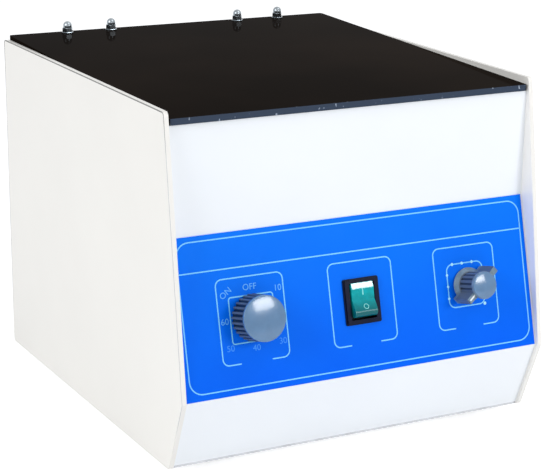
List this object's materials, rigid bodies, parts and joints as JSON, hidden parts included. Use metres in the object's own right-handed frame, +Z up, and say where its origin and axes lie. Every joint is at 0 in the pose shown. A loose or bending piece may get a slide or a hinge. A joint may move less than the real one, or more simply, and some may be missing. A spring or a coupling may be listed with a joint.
{
  "type": "bench centrifuge",
  "caption": "Bench centrifuge in a white sheet-steel case with a sloping blue control panel, timer and speed knobs, a rocker switch and a hinged dark lid over an angle rotor",
  "frame": {"origin": "centre of the bounding box at the underside of the feet", "axes": "+Z up, +Y towards the hinges at the back, +X to the right seen from the front"},
  "size_m": [0.27, 0.3332, 0.2536],
  "materials": {
    "case_white": "satin",
    "panel_white": "satin",
    "zinc": "zinc plated",
    "steel": "turned",
    "chrome": "polished",
    "bowl_steel": "brushed",
    "black_rubber": "matt",
    "smoked_acrylic": "polished",
    "alu": "satin",
    "motor_black": "satin",
    "motor_cast": "cast",
    "core_steel": "laminated",
    "copper": "enamelled",
    "brass": "plain",
    "carbon": "matt",
    "overlay_blue": "printed film",
    "knob_grey": "moulded",
    "black_plastic": "moulded",
    "rocker_green": "translucent",
    "cream_plastic": "moulded",
    "board_green": "printed board",
    "sink_black": "anodised",
    "fan_grey": "moulded"
  },
  "bodies": {
    "case": {"left_side_panel": "case_white", "right_side_panel": "case_white", "front_panel": "panel_white", "rear_panel": "case_white", "base_plate": "zinc", "top_deck": "panel_white", "case_screws": "zinc", "rubber_feet": "black_rubber", "foot_screws": "zinc", "chamber_bowl": "bowl_steel", "bowl_rim_trim": "black_rubber", "shaft_seal": "black_rubber", "lower_hinge_leaves": "steel", "hinge_pins": "steel", "hinge_screws": "zinc", "lid_bumpers": "black_rubber", "motor_can": "motor_black", "motor_upper_cap": "motor_cast", "motor_lower_cap": "motor_cast", "stator_core": "core_steel", "field_coils": "copper", "motor_bearings": "steel", "brush_holders": "brass", "carbon_brushes": "carbon", "motor_bolts": "zinc", "motor_plate": "zinc", "rubber_dampers": "black_rubber", "damper_studs": "zinc", "control_overlay": "overlay_blue", "timer_unit": "cream_plastic", "timer_nut": "zinc", "speed_pot": "zinc", "pot_nut": "zinc", "switch_housing": "black_plastic", "switch_tags": "brass", "control_board": "board_green", "board_standoffs": "brass", "heat_sink": "sink_black", "mains_inlet": "black_plastic", "inlet_pins": "chrome", "fuse_holder": "black_plastic", "fuse_cap": "black_plastic"},
    "lid_body": {"lid": "smoked_acrylic", "upper_hinge_leaves": "steel", "lid_screws": "zinc", "lid_washers": "chrome", "dome_nuts": "chrome"},
    "rotor": {"rotor_head": "alu", "tube_sleeves": "alu", "sleeve_cushions": "black_rubber", "rotor_nut": "chrome", "motor_shaft": "steel", "armature": "core_steel", "commutator": "copper", "cooling_fan": "fan_grey"},
    "timer": {"timer_knob": "knob_grey", "timer_shaft": "steel"},
    "speed": {"speed_knob": "knob_grey", "pot_shaft": "steel"},
    "rocker": {"switch_rocker": "rocker_green"}
  },
  "joints": [
    {"name": "lid_hinge", "type": "hinge", "parent": "case", "child": "lid_body", "pos_m": [0, 0.15958, 0.2377], "axis": [-1, 0, 0], "range_deg": [0, 105]},
    {"name": "rotor_spin", "type": "hinge", "parent": "case", "child": "rotor", "pos_m": [0, 0.01698, 0.214], "axis": [0, 0, 1], "continuous": true},
    {"name": "timer_turn", "type": "hinge", "parent": "case", "child": "timer", "pos_m": [-0.0797, -0.14295, 0.10469], "axis": [0, 0.9716, -0.2366], "range_deg": [-45, 270]},
    {"name": "speed_turn", "type": "hinge", "parent": "case", "child": "speed", "pos_m": [0.0816, -0.14295, 0.10469], "axis": [0, 0.9716, -0.2366], "range_deg": [0, 270]},
    {"name": "power_rocker", "type": "hinge", "parent": "case", "child": "rocker", "pos_m": [-0.0004, -0.141, 0.10421], "axis": [1, 0, 0], "range_deg": [0, 22]}
  ]
}
